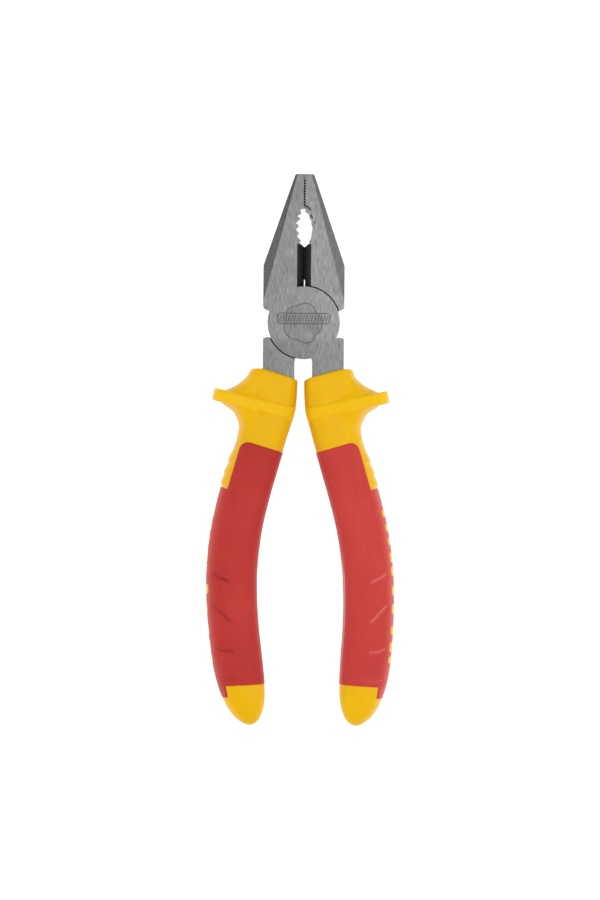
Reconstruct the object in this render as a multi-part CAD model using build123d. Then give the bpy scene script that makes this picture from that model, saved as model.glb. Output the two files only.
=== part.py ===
from build123d import *
import math
import os

# Insulated lineman (combination) pliers, 180 mm size, closed and lying flat. Millimetres.
#
# Frame: origin on the joint axis, on the rear face of the head.
#   +Z  along the joint rivet, out of the front face of the head
#   +Y  toward the jaw tip
#   +X  toward the right-hand jaw and the right-hand handle
#
# The two steel halves are half lapped at the joint:
#   front lever = left jaw + front lap + right-hand tang
#   rear lever  = right jaw + rear lap + left-hand tang
# Each tang carries a hard core with a soft cover let into it.
#
# Everything is drawn about the mid-thickness of the head and raised when written out.
# A "side" is +1 for right and -1 for left; a "z_side" is +1 for front and -1 for rear.

# ---- head ------------------------------------------------------------------
HEAD_T = 10.0            # thickness, both laps together
HALF = HEAD_T / 2.0
TIP_Y = 48.4             # joint axis to jaw tip
TIP_HALF_W = 3.05        # half width of the closed tip
SHOULDER_HALF_W = 13.25  # half width of the head at its widest
SHOULDER_Y = 18.6        # where the tapering jaw meets the parallel part
JAW_BOTTOM_Y = 4.7       # lower outer corner of a jaw
JAW_FACE_X = 0.004 / 2.0  # half the gap between the closed jaw faces
LAP_HALF_GAP = 0.06 / 2.0  # half the gap between the two laps
DISC_R = 11.8            # lap disc
SEAT_R = 12.15           # arc the disc turns in

OVERCUT = 1.0            # how far a cutting body runs past the surface it cuts
CUT_Z = HALF + OVERCUT   # half height of a cut right through the head


# ---- shared helpers --------------------------------------------------------
def bar(corners, length, direction):
    """Extrude a closed polygon of 3D corners along a unit direction."""
    face = make_face(Polyline(*[Vector(*corner) for corner in corners], close=True))
    return extrude(face, amount=length, dir=tuple(direction))


def prism(plan, z0, z1):
    """Extrude a closed plan polygon from z0 to z1."""
    return bar([(x, y, z0) for x, y in plan], z1 - z0, (0, 0, 1))


def disc(radius, z0, z1):
    """Cylinder on the joint axis from z0 to z1."""
    return Pos(0, 0, (z0 + z1) / 2.0) * Cylinder(radius, z1 - z0)


def on_side(plan, side):
    """A right-hand plan, placed on the given side."""
    return [(side * x, y) for x, y in plan]


def round_plan(points, radii):
    """Replace polygon corners with five-point arcs; radii maps index -> radius."""
    rounded = []
    for i, point in enumerate(points):
        if i not in radii:
            rounded.append(point)
            continue
        radius = radii[i]
        corner = Vector(*point)
        to_last = (Vector(*points[i - 1]) - corner).normalized()
        to_next = (Vector(*points[(i + 1) % len(points)]) - corner).normalized()
        half_angle = math.acos(to_last.dot(to_next)) / 2.0
        tangent = radius / math.tan(half_angle)
        centre = corner + (to_last + to_next).normalized() * (radius / math.sin(half_angle))
        start = corner + to_last * tangent - centre
        end = corner + to_next * tangent - centre
        start_angle = math.atan2(start.Y, start.X)
        turn = math.atan2(end.Y, end.X) - start_angle
        turn = (turn + math.pi) % (2 * math.pi) - math.pi
        for k in range(5):
            angle = start_angle + turn * k / 4.0
            rounded.append((centre.X + radius * math.cos(angle),
                            centre.Y + radius * math.sin(angle)))
    return rounded


# Sideways set of the pair of handles: a little to the left at the thumb guards
# and a little to the right at the end caps. Columns: y, set along +X.
SET = [
    (-13.0, 0.0), (-15.0, -0.35), (-18.0, -0.72), (-24.0, -0.78), (-32.0, -0.86),
    (-40.0, -1.00), (-50.0, -0.99), (-60.0, -0.90), (-70.0, -0.75), (-80.0, -0.57),
    (-90.0, -0.34), (-100.0, -0.07), (-110.0, 0.22), (-120.0, 0.52), (-132.0, 0.80),
]


def set_over(y, side=1):
    """Set at y, interpolated; side -1 gives it for a part that is mirrored later."""
    if y >= SET[0][0]:
        return side * SET[0][1]
    for (y0, set0), (y1, set1) in zip(SET, SET[1:]):
        if y >= y1:
            return side * (set0 + (set1 - set0) * (y0 - y) / (y0 - y1))
    return side * SET[-1][1]


# ---------------------------------------------------------------------------
# Jaw features. Each function returns a list of bodies to cut from one jaw.
# ---------------------------------------------------------------------------
JAW_PLAN = round_plan(   # right jaw
    [
        (JAW_FACE_X, 0.0), (JAW_FACE_X, TIP_Y), (TIP_HALF_W, TIP_Y),
        (SHOULDER_HALF_W, SHOULDER_Y), (SHOULDER_HALF_W, JAW_BOTTOM_Y),
        (11.15, 3.75), (8.0, 3.2), (8.0, 0.0),
    ],
    {2: 0.55, 3: 3.0, 4: 0.8},
)

CUTTER_HALF_W = 2.3      # half width of the cutter recess at the face of the head
CUTTER_BOTTOM_Y = 12.0
CUTTER_TOP_Y = 25.6
CUTTER_RUN_DOWN = 3.0    # how far the V is carried below the cutter
CUTTER_LAND = 0.30       # half height of the land left at the cutting edge
CUTTER_EDGE_X = 0.003    # where the V stops, out from the centre line
CUTTER_RISE = 0.6        # how far the V is carried beyond the face
RELIEF_X = {1: 0.34, -1: 0.02}   # width of the relief slot in each jaw
RELIEF_TOP_Y = 14.2


def cutter_cuts(side):
    """A V ground in from each face toward the mid-plane, and the relief slot below."""
    spread = (CUTTER_HALF_W - CUTTER_EDGE_X) / (HALF - CUTTER_LAND)
    outer_x = CUTTER_HALF_W + spread * CUTTER_RISE
    y = CUTTER_BOTTOM_Y - CUTTER_RUN_DOWN
    cuts = []
    for z_side in (1, -1):
        z_outer = z_side * (HALF + CUTTER_RISE)
        z_land = z_side * CUTTER_LAND
        cuts.append(bar(
            [(-0.5 * side, y, z_outer), (side * outer_x, y, z_outer),
             (side * CUTTER_EDGE_X, y, z_land), (-0.5 * side, y, z_land)],
            CUTTER_TOP_Y - y, (0, 1, 0)))
    slot_x = RELIEF_X[side]
    slot_bottom_y = CUTTER_BOTTOM_Y - 0.6
    slot = [(-0.3, slot_bottom_y), (slot_x, slot_bottom_y), (slot_x, RELIEF_TOP_Y - 0.25),
            (0.004, RELIEF_TOP_Y), (-0.3, RELIEF_TOP_Y)]
    cuts.append(prism(on_side(slot, side), -CUT_Z, CUT_Z))
    return cuts


def slanted_cut(plan, degrees):
    """Cut right through the head, leaning toward +Y at the front; plan is at mid-plane."""
    slant = math.radians(degrees)
    shift = CUT_Z * math.tan(slant)
    return bar([(x, y - shift, -CUT_Z) for x, y in plan],
               2.0 * CUT_Z / math.cos(slant), (0, math.sin(slant), math.cos(slant)))


# pipe grip: toothed half ovals of the right (1) and left (-1) jaw, x and y at mid-plane
GRIP_PLANS = {
    1: [
        (0.1, 24.7), (1.66, 26.0), (1.66, 26.65), (2.22, 27.76),
        (2.45, 29.7), (2.66, 31.2), (2.18, 32.3), (2.32, 33.3),
        (1.57, 34.15), (1.66, 35.25), (0.91, 35.9), (0.30, 36.2),
        (0.26, 37.3),
    ],
    -1: [
        (0.1, 24.7), (-1.60, 26.13), (-1.04, 26.88), (-2.38, 28.18),
        (-1.70, 29.26), (-2.77, 30.46), (-1.79, 31.67), (-2.77, 32.65),
        (-1.20, 34.05), (-2.35, 34.85), (-1.00, 35.75), (-1.37, 36.85),
        (-1.15, 37.15), (0.2, 37.35),
    ],
}
GRIP_CLOSE_X = 0.6       # how far the plan is closed beyond the centre line
TOOTH_SLANT = -2.5       # degrees

# tooth roots that break out on the front face of the right jaw, x and y
NICKS = [
    [(0.20, 38.20), (1.00, 38.02), (1.80, 37.38), (2.22, 36.62),
     (1.88, 36.48), (1.38, 36.98), (0.82, 37.45), (0.20, 37.62)],
    [(1.60, 35.30), (2.25, 35.08), (2.88, 34.15), (2.58, 33.90), (2.02, 34.45), (1.60, 34.62)],
    [(1.60, 26.95), (1.95, 26.80), (2.20, 26.32), (1.96, 26.20), (1.74, 26.48), (1.60, 26.60)],
]
NICK_DEPTH = 0.7
DIMPLE_X, DIMPLE_Y = 3.42, 32.65   # small round dimple beside the grip, front face
DIMPLE_R = 0.24
DIMPLE_DEPTH = 0.5


def pipe_grip_cuts(side):
    plan = GRIP_PLANS[side]
    close_x = -side * GRIP_CLOSE_X
    cuts = [slanted_cut(plan + [(close_x, plan[-1][1]), (close_x, plan[0][1])], TOOTH_SLANT)]
    if side > 0:
        cuts += [prism(nick, HALF - NICK_DEPTH, CUT_Z) for nick in NICKS]
        cuts.append(Pos(DIMPLE_X, DIMPLE_Y, HALF) * Cylinder(DIMPLE_R, 2.0 * DIMPLE_DEPTH))
    return cuts


BREAK_BOTTOM_Y = 37.0    # fine break along the parting line
BREAK_LENGTH = 12.5
BREAK_HALF_W = 0.11
BREAK_DEPTH = 0.14
BREAK_RISE = 0.03        # how far the break is carried beyond the face
PAST_CENTRE = 0.02       # how far the tip's cuts cross the centre line


def parting_break_cuts(side):
    """Fine break along the parting line toward the tip, on both faces."""
    inner_x, outer_x = -side * PAST_CENTRE, side * BREAK_HALF_W
    y = BREAK_BOTTOM_Y
    return [
        bar([(inner_x, y, z_side * (HALF - BREAK_DEPTH)),
             (outer_x, y, z_side * (HALF + BREAK_RISE)),
             (inner_x, y, z_side * (HALF + BREAK_RISE))],
            BREAK_LENGTH, (0, 1, 0))
        for z_side in (1, -1)
    ]


SERRATION_PITCH = 0.873
SERRATION_TOP_Y = 46.3   # uppermost serration, at the front face
SERRATION_COUNT = 10
SERRATION_DEPTH = 0.38
SERRATION_HALF_W = 0.35
SERRATION_SLANT = 22.0   # degrees; slanted so that no daylight shows through


def serration_cuts(side):
    root_x, mouth_x = side * (SERRATION_DEPTH + JAW_FACE_X), -side * PAST_CENTRE
    shift = HALF * math.tan(math.radians(SERRATION_SLANT))
    cuts = []
    for k in range(SERRATION_COUNT):
        y = SERRATION_TOP_Y - k * SERRATION_PITCH - shift
        cuts.append(slanted_cut(
            [(root_x, y), (mouth_x, y - SERRATION_HALF_W), (mouth_x, y + SERRATION_HALF_W)],
            SERRATION_SLANT))
    return cuts


FACET_TIP_W = 0.55       # plan width of the ground outer facet at the tip
FACET_FALL = 1.5 / 2.45  # drop of the facet per unit of width
FACET_LOW_X, FACET_LOW_Y = 12.95, 7.7   # lower end of the facet's line on the face
FACET_RUN_UP = 2.0       # how far the line is carried above the tip
FACET_RUN_ON = 0.12      # share of its length by which it is carried on below
FACET_REACH = 8.0        # how far the cutting body reaches outward
FACET_CUT_RISE = 3.0     # how far the cutting body stands above the face
TIP_CHAMFER = 0.35
TIP_RUN_OUT = 0.4        # how far the chamfer is carried beyond the tip
TIP_CUT_LENGTH = 8.0


def facet_cut(side, z_side):
    """Facet that drops outward from a line along the tapering outer edge."""
    taper = (SHOULDER_HALF_W - TIP_HALF_W) / (TIP_Y - SHOULDER_Y)
    top_x = TIP_HALF_W - FACET_TIP_W - FACET_RUN_UP * taper
    top = Vector(side * top_x, TIP_Y + FACET_RUN_UP, z_side * HALF)
    low = Vector(side * FACET_LOW_X, FACET_LOW_Y, z_side * HALF)
    outward = Vector(side, 0.30, 0).normalized() * FACET_REACH
    drop = Vector(0, 0, -z_side * FACET_REACH * FACET_FALL)
    rise = Vector(0, 0, z_side * FACET_CUT_RISE)
    run = low + (low - top) * FACET_RUN_ON - top
    corners = [top, top + outward + drop, top + outward + rise, top + rise]
    return bar([tuple(corner) for corner in corners], run.length, run.normalized())


def tip_chamfer_cut(side, z_side):
    x = -side * OVERCUT
    low_y, high_y = TIP_Y - TIP_CHAMFER, TIP_Y + TIP_RUN_OUT
    z_top = z_side * (HALF + TIP_RUN_OUT)
    z_deep = z_side * (HALF - TIP_CHAMFER - TIP_RUN_OUT)
    return bar([(x, low_y, z_side * HALF), (x, high_y, z_deep), (x, high_y, z_top),
                (x, low_y, z_top)],
               TIP_CUT_LENGTH, (side, 0, 0))


def jaw_cuts(side):
    """Everything ground away from one jaw, in cutting order."""
    cuts = cutter_cuts(side) + pipe_grip_cuts(side)
    cuts += parting_break_cuts(side) + serration_cuts(side)
    for z_side in (1, -1):
        cuts += [facet_cut(side, z_side), tip_chamfer_cut(side, z_side)]
    return cuts


# ---------------------------------------------------------------------------
# Levers
# ---------------------------------------------------------------------------
SHANK_OUT_X = 13.2
SHANK_IN_X = 2.9
SHANK_TOP_Y = -5.3
SHANK_NARROW_Y = -18.6   # inside the collar the shank's inner side steps outward
SHANK_NARROW_X = 4.3
SHANK_END_Y = -20.6      # the shank's block ends inside the collar
SHANK_PLAN = round_plan(  # right-hand shank
    [
        (12.1, -4.8), (SHANK_OUT_X, SHANK_TOP_Y), (SHANK_OUT_X, SHANK_END_Y),
        (SHANK_NARROW_X, SHANK_END_Y), (SHANK_NARROW_X, SHANK_NARROW_Y - 0.4),
        (SHANK_IN_X, SHANK_NARROW_Y), (SHANK_IN_X, -12.9),
        (2.55, -11.0), (4.0, -8.0), (8.0, -5.6), (11.0, -4.95),
    ],
    {1: 0.5, 6: 0.9},
)
NECK_OVERLAP = 0.1       # how far the neck starts inside the shank
NECK_CORNER_R = 0.4
TANG_CORNER_SHARE = 0.28  # corner radius as a share of the section's smaller size

# right-hand tang: y, centre x, width, thickness
TANG = [
    (-24.0, 8.95, 9.4, 9.5), (-28.0, 9.60, 9.0, 9.2), (-35.0, 11.40, 8.8, 8.8),
    (-42.0, 13.40, 8.8, 8.6), (-50.0, 15.90, 8.8, 8.4), (-60.0, 18.70, 8.8, 8.2),
    (-70.0, 20.80, 8.8, 8.0), (-80.0, 22.00, 8.8, 8.0), (-90.0, 22.30, 8.6, 7.8),
    (-100.0, 21.90, 8.2, 7.6), (-108.0, 21.35, 7.8, 7.4), (-113.0, 20.90, 7.4, 7.2),
]


def rounded_section(x, y, width, thickness, radius):
    """Rounded rectangle in a plane of constant y."""
    plane = Plane(origin=(x, y, 0), x_dir=(1, 0, 0), z_dir=(0, -1, 0))
    return plane * RectangleRounded(width, thickness, radius)


def tang_section(station, side):
    y, x, width, thickness = station
    return rounded_section(side * x + set_over(y), y, width, thickness,
                           min(width, thickness) * TANG_CORNER_SHARE)


def lever(jaw_side, front):
    """One steel half; its shank and tang are on the opposite side from its jaw."""
    shank_side = -jaw_side
    if front:
        lap = disc(DISC_R, LAP_HALF_GAP, HALF)
        seat = disc(SEAT_R, -CUT_Z, LAP_HALF_GAP)
    else:
        lap = disc(DISC_R, -HALF, -LAP_HALF_GAP)
        seat = disc(SEAT_R, -LAP_HALF_GAP, CUT_Z)

    jaw = prism(on_side(JAW_PLAN, jaw_side), -HALF, HALF) - seat
    shank = prism(on_side(SHANK_PLAN, shank_side), -HALF, HALF) - seat
    tang = loft([tang_section(station, shank_side) for station in TANG])
    shank_end = rounded_section(
        shank_side * (SHANK_OUT_X + SHANK_NARROW_X) / 2.0, SHANK_END_Y + NECK_OVERLAP,
        SHANK_OUT_X - SHANK_NARROW_X, HEAD_T, NECK_CORNER_R)
    neck = loft([shank_end, tang_section(TANG[0], shank_side)], ruled=True)

    body = jaw + shank + lap + neck + tang
    for cut in jaw_cuts(jaw_side):
        body = body - cut
    # the jaw cuts run into the lap disc, so restore it
    body = body + lap
    # nothing of this half stands beyond its own lap
    return body - seat


# ---------------------------------------------------------------------------
# Joint rivet: lobed head keyed in the front lap, round running part behind
# ---------------------------------------------------------------------------
# outline of the five-lobed head, x and y
RIVET_OUTLINE = [
    (6.20, -0.16), (5.80, 1.27), (4.55, 2.45), (4.10, 3.15), (3.55, 4.34), (2.54, 5.54),
    (0.68, 6.23), (-0.72, 5.97), (-2.15, 5.37), (-3.59, 5.17), (-5.02, 4.34), (-5.60, 3.10),
    (-5.72, 1.60), (-5.95, 0.20), (-6.36, -1.70), (-5.85, -3.42), (-4.79, -4.63),
    (-3.59, -5.30), (-2.15, -5.47), (-0.72, -6.16), (0.68, -6.65), (2.54, -6.16),
    (3.55, -5.05), (4.12, -3.85), (5.19, -3.00), (6.00, -1.79),
]
RIVET_SHANK_R = 4.0
RIVET_REAR_R = 5.6
RIVET_HEAD_Z = HALF - 2.4    # underside of the lobed head
RIVET_REAR_Z = -HALF + 2.2   # floor of the rear counterbore
RIVET_OVERLAP = 0.5          # how far the shank runs into either head
RIVET_REAR_GAP = 0.03        # between the rear head and its counterbore floor
RUNNING_FIT = 0.05           # radial clearance in the rear lever
GROOVE_W = 0.13              # witness groove round the lobed head
GROOVE_DEPTH = 0.3


def lobed_head(z0, z1, grow=0.0):
    """The lobed outline, grown radially, extruded from z0 to z1."""
    points = []
    for x, y in RIVET_OUTLINE:
        radius = math.hypot(x, y)
        scale = (radius + grow) / radius
        points.append(Vector(x * scale, y * scale, z0))
    return extrude(make_face(Spline(*points, periodic=True)), amount=z1 - z0, dir=(0, 0, 1))


def pivot_rivet():
    rivet = lobed_head(RIVET_HEAD_Z, HALF)
    rivet = rivet + disc(RIVET_SHANK_R, RIVET_REAR_Z - RIVET_OVERLAP,
                         RIVET_HEAD_Z + RIVET_OVERLAP)
    return rivet + disc(RIVET_REAR_R, -HALF, RIVET_REAR_Z - RIVET_REAR_GAP)


def front_lever():
    body = lever(-1, True)
    body = body - lobed_head(RIVET_HEAD_Z, CUT_Z)
    body = body - disc(RIVET_SHANK_R, -OVERCUT, RIVET_HEAD_Z + RIVET_OVERLAP)
    return body - lobed_head(HALF - GROOVE_DEPTH, CUT_Z, grow=GROOVE_W)


def rear_lever():
    body = lever(1, False)
    body = body - disc(RIVET_SHANK_R + RUNNING_FIT, RIVET_REAR_Z - OVERCUT, OVERCUT)
    return body - disc(RIVET_REAR_R + RUNNING_FIT, -CUT_Z, RIVET_REAR_Z)


# ---------------------------------------------------------------------------
# Handles. Both are drawn on the right-hand side; the left one is then mirrored,
# so its sideways set is applied with the opposite sign before mirroring.
# ---------------------------------------------------------------------------
COVER_T = 1.5            # depth of the soft cover below the handle outline
COVER_PROUD = 0.15       # how far the cover stands above the hard core
PARTING_GAP = 0.03       # gap between the core and the cover
HANDLE_CUT_Z = 20.0      # half height of plan cuts through a handle
SECTION_POINTS = 24

# handle outline: y, outer x, inner x, half thickness
OUTLINE = [
    (-15.2, 16.55, 2.05, 6.7), (-17.0, 17.35, 1.20, 7.1), (-19.0, 18.00, 1.09, 7.3),
    (-22.0, 18.70, 1.14, 7.4), (-26.0, 19.30, 1.34, 7.5), (-30.0, 19.75, 1.90, 7.6),
    (-34.0, 19.95, 3.07, 7.7), (-38.0, 20.58, 4.23, 7.8), (-42.0, 21.90, 5.37, 7.9),
    (-46.0, 23.25, 6.54, 8.05), (-50.0, 24.60, 7.68, 8.2), (-54.0, 25.65, 8.87, 8.35),
    (-60.0, 27.23, 10.49, 8.55), (-66.0, 28.62, 11.93, 8.7), (-72.0, 29.60, 13.01, 8.8),
    (-78.0, 30.25, 13.75, 8.85), (-84.0, 30.58, 14.17, 8.85), (-90.0, 30.60, 14.22, 8.8),
    (-96.0, 30.36, 14.03, 8.7), (-102.0, 29.98, 13.64, 8.55), (-108.0, 29.42, 13.07, 8.35),
    (-113.0, 28.70, 12.64, 8.15), (-118.0, 27.59, 12.28, 7.9), (-122.0, 26.30, 12.18, 7.55),
    (-125.0, 25.05, 12.52, 7.1), (-127.5, 23.50, 13.15, 6.4), (-129.3, 21.95, 13.95, 5.5),
    (-130.6, 20.20, 15.00, 4.2), (-131.6, 18.50, 16.40, 2.2),
]
COVERED_ROWS = [row for row in OUTLINE if -126.0 < row[0] < -34.0]

# where the soft cover lies, in plan: x, y, shift of x and of y per unit of growth
COVER_ZONE = [
    (-4.0, -45.3, 0, 1), (18.78, -38.52, -0.3, 1), (23.4, -54.5, 1, 1),
    (26.4, -53.8, 0, 1), (40.0, -53.0, 0, 1), (40.0, -122.6, 0, -1),
    (24.35, -122.6, -1, -1), (24.9, -118.7, -1, -1), (-4.0, -117.35, 0, -1),
]
COVER_ZONE_RADII = {1: 2.8}

# pads of the core that stand through the cover along the outer spine:
# upper y, lower y, half height on the right handle, half height on the left handle
PADS = [
    (-61.0, -63.3, 5.0, 3.2), (-65.6, -67.9, 5.0, 3.2), (-70.0, -72.3, 5.0, 3.2),
    (-74.9, -78.0, 5.0, 3.2), (-79.5, -82.3, 5.0, 3.2), (-85.8, -88.7, 5.0, 5.0),
    (-91.8, -94.9, 5.0, 3.2), (-98.9, -101.6, 5.0, 3.2), (-104.1, -107.3, 5.0, 3.2),
    (-108.6, -111.0, 5.0, 3.2),
]
PAD_BOX_X = 35.0         # centre of the boxes that mark out the pads
PAD_BOX_W = 24.0

# lower edge of the cut that slopes the collar's top, higher on the outer side: x, y
COLLAR_TRIM = [(-6, -13.0), (-6, -20.9), (1.9, -18.9), (12.9, -15.35), (16.9, -15.15),
               (25, -15.05), (25, -13.0)]
COLLAR_SET_Y = -16.0     # where the collar cut takes its sideways set

GUARD_TILT = math.radians(13.6)
GUARD_W = 3.9            # thumb guard thickness
GUARD_HALF_Z = 9.7
GUARD_LENGTH = 28.05
GUARD_INNER_X, GUARD_INNER_Y = 1.25, -30.0   # middle of the band at its inner edge
GUARD_SET_Y = -26.5      # where the guard takes its sideways set
GUARD_CORNER_R = 5.4
GUARD_EDGE_R = 0.9

# root that runs the collar and the grip out into the thumb guard:
# y, outer x, half thickness
ROOT = [
    (-16.0, 16.4, 6.7), (-17.5, 17.3, 7.0), (-19.0, 18.7, 7.2), (-20.3, 20.3, 7.3),
    (-21.3, 22.2, 7.4), (-22.2, 24.3, 7.5), (-23.2, 26.0, 7.8), (-24.4, 26.6, 8.4),
    (-25.6, 26.2, 8.9), (-26.8, 24.9, 9.0), (-28.0, 23.3, 8.8), (-29.3, 22.0, 8.4),
    (-31.0, 20.95, 7.9), (-33.0, 20.2, 7.5), (-36.0, 19.8, 7.3),
]
ROOT_INNER_X = 6.0
ROOT_POWER = 2.3

RIB_PEAKS = [(23.55, -44.7), (24.85, -48.6), (26.05, -52.4)]
RIB_PROFILE = [(-1.55, 1.9), (0, 0), (-0.35, -0.75), (-1.55, -1.1)]   # from the peak
RIB_HALF_Z = 4.6


def section(y, x_outer, x_inner, half_z, power):
    """Superellipse in a plane of constant y; a higher power is squarer."""
    x_mid, half_x = (x_outer + x_inner) / 2.0, (x_outer - x_inner) / 2.0
    points = []
    for k in range(SECTION_POINTS):
        angle = 2.0 * math.pi * (k + 0.5) / SECTION_POINTS
        cosine, sine = math.cos(angle), math.sin(angle)
        points.append(Vector(
            x_mid + half_x * math.copysign(abs(cosine) ** (2.0 / power), cosine),
            y,
            half_z * math.copysign(abs(sine) ** (2.0 / power), sine)))
    # the same parameters on every section keep the lofted surface light
    parameters = [k / SECTION_POINTS for k in range(SECTION_POINTS + 1)]
    return make_face(Edge.make_spline(points, periodic=True, parameters=parameters))


def handle_body(side, inset, rows):
    """Loft of the handle outline, drawn in by inset all round."""
    faces = []
    for y, x_outer, x_inner, half_z in rows:
        # the collar is squarer where it closes round the shank
        power = 3.6 if y > -20.0 else 3.1 if y > -23.0 else 2.7
        shift = set_over(y, side)
        faces.append(section(y, x_outer + shift - inset, x_inner + shift + inset,
                             half_z - inset, power))
    return loft(faces)


def cover_zone(side, grow):
    """Plan prism of the soft cover, opened all round by grow."""
    plan = []
    for x, y, grow_x, grow_y in COVER_ZONE:
        y += grow_y * grow
        plan.append((x + grow_x * grow + set_over(y, side), y))
    return prism(round_plan(plan, COVER_ZONE_RADII), -HANDLE_CUT_Z, HANDLE_CUT_Z)


def pad_boxes(side, grow):
    boxes = []
    for y0, y1, right_half_z, left_half_z in PADS:
        half_z = right_half_z if side > 0 else left_half_z
        y = (y0 + y1) / 2.0
        box = Box(PAD_BOX_W, abs(y1 - y0) + 2 * grow, 2 * (half_z + grow))
        boxes.append(Pos(PAD_BOX_X + set_over(y, side), y, 0) * box)
    return boxes


def grip_cover(side):
    skin = handle_body(side, -COVER_PROUD, COVERED_ROWS)
    hollow = handle_body(side, COVER_T - PARTING_GAP, COVERED_ROWS)
    cover = (skin - hollow) & cover_zone(side, 0.0)
    for box in pad_boxes(side, PARTING_GAP):
        cover = cover - box
    return cover


def thumb_guard(side):
    """Tilted band right round the grip, with its long tip outside."""
    along_x, along_y = math.cos(GUARD_TILT), math.sin(GUARD_TILT)
    x = GUARD_INNER_X + set_over(GUARD_SET_Y, side) + along_x * GUARD_LENGTH / 2.0
    y = GUARD_INNER_Y + along_y * GUARD_LENGTH / 2.0
    plane = Plane(origin=(x, y, 0), x_dir=(along_x, along_y, 0), z_dir=(along_y, -along_x, 0))
    outline = plane * RectangleRounded(GUARD_LENGTH, 2 * GUARD_HALF_Z, GUARD_CORNER_R)
    band = extrude(outline, amount=GUARD_W / 2.0, both=True)
    return fillet(band.edges(), GUARD_EDGE_R)


def guard_root(side):
    return loft([section(y, x_outer + set_over(y, side), ROOT_INNER_X, half_z, ROOT_POWER)
                 for y, x_outer, half_z in ROOT])


def grip_core(side):
    """Hard core of one handle, before the tang is taken out."""
    pocket = cover_zone(side, PARTING_GAP) - handle_body(side, COVER_T, COVERED_ROWS)
    for box in pad_boxes(side, 0.0):
        pocket = pocket - box
    core = handle_body(side, 0.0, OUTLINE) - pocket

    shift = set_over(COLLAR_SET_Y, side)
    trim = [(x + shift, y) for x, y in COLLAR_TRIM]
    core = core - prism(trim, -HANDLE_CUT_Z, HANDLE_CUT_Z)
    core = core + thumb_guard(side) + guard_root(side)

    # thumb ribs across the outer strip
    for peak_x, peak_y in RIB_PEAKS:
        peak_x += set_over(peak_y, side)
        rib = [(peak_x + x, peak_y + y) for x, y in RIB_PROFILE]
        core = core + prism(rib, -RIB_HALF_Z, RIB_HALF_Z)
    return core


def mirrored(shape):
    return mirror(shape, about=Plane.YZ)


# ---------------------------------------------------------------------------
# Pieces
# ---------------------------------------------------------------------------
front = front_lever()
rear = rear_lever()
pieces = {
    "front_lever": front,
    "rear_lever": rear,
    "pivot_rivet": pivot_rivet(),
    "left_grip_core": mirrored(grip_core(-1)) - rear,
    "right_grip_core": grip_core(1) - front,
    "left_grip_cover": mirrored(grip_cover(-1)),
    "right_grip_cover": grip_cover(1),
}

os.makedirs("parts", exist_ok=True)
for name, shape in pieces.items():
    # keep the one main solid; tiny boolean crumbs are dropped
    main_solid = max(shape.solids(), key=lambda solid: solid.volume)
    export_step(Pos(0, 0, HALF) * main_solid, "parts/" + name + ".step")
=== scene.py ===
import bpy
import bmesh
import math
import numpy as np
from mathutils import Vector, Matrix


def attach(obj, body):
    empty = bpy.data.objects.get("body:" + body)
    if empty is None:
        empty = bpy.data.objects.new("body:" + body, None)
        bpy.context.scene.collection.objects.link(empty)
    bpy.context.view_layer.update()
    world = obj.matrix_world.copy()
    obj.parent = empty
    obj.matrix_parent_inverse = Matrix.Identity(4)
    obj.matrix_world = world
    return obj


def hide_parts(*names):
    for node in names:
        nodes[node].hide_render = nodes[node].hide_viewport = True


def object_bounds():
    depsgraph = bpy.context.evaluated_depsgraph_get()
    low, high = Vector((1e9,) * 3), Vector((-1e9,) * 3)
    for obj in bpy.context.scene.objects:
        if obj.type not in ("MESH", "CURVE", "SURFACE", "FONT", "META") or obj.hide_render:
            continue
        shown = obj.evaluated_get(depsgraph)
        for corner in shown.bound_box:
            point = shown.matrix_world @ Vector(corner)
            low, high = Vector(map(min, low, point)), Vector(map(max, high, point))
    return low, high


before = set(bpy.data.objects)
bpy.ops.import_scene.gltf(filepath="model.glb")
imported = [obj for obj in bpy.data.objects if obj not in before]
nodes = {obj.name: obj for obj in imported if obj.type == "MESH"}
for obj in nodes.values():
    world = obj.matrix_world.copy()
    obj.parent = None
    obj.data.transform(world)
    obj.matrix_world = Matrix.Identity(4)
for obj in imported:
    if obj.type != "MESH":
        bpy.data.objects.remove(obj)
cad_lo, cad_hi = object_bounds()

MM = 0.001
HALF = 5.0            # half thickness of the head, mm; z is measured from the rear face

# ---------------------------------------------------------------------------
# Handle geometry, right-hand side, millimetres, z about the mid-plane
# ---------------------------------------------------------------------------
OUTLINE = np.array([
    (-13.0, 16.00, 2.60, 6.4),
    (-15.2, 16.65, 1.75, 6.7),
    (-17.0, 17.35, 1.20, 7.1),
    (-19.0, 18.00, 1.09, 7.3),
    (-22.0, 18.70, 1.14, 7.4),
    (-26.0, 19.30, 1.34, 7.5),
    (-30.0, 19.75, 1.90, 7.6),
    (-34.0, 19.95, 3.07, 7.7),
    (-38.0, 20.58, 4.23, 7.8),
    (-42.0, 21.90, 5.37, 7.9),
    (-46.0, 23.25, 6.54, 8.05),
    (-50.0, 24.60, 7.68, 8.2),
    (-54.0, 25.65, 8.87, 8.35),
    (-60.0, 27.23, 10.49, 8.55),
    (-66.0, 28.62, 11.93, 8.7),
    (-72.0, 29.60, 13.01, 8.8),
    (-78.0, 30.25, 13.75, 8.85),
    (-84.0, 30.58, 14.17, 8.85),
    (-90.0, 30.60, 14.22, 8.8),
    (-96.0, 30.36, 14.03, 8.7),
    (-102.0, 29.98, 13.64, 8.55),
    (-108.0, 29.42, 13.07, 8.35),
    (-113.0, 28.70, 12.64, 8.15),
    (-118.0, 27.59, 12.28, 7.9),
    (-122.0, 26.30, 12.18, 7.55),
    (-125.0, 25.05, 12.52, 7.1),
    (-127.5, 23.50, 13.15, 6.4),
    (-129.3, 21.95, 13.95, 5.5),
    (-130.6, 20.20, 15.00, 4.2),
    (-131.3, 18.90, 16.05, 2.9),
    (-131.55, 18.05, 16.80, 1.6),
    (-131.6, 17.55, 17.30, 0.4),
])
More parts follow.
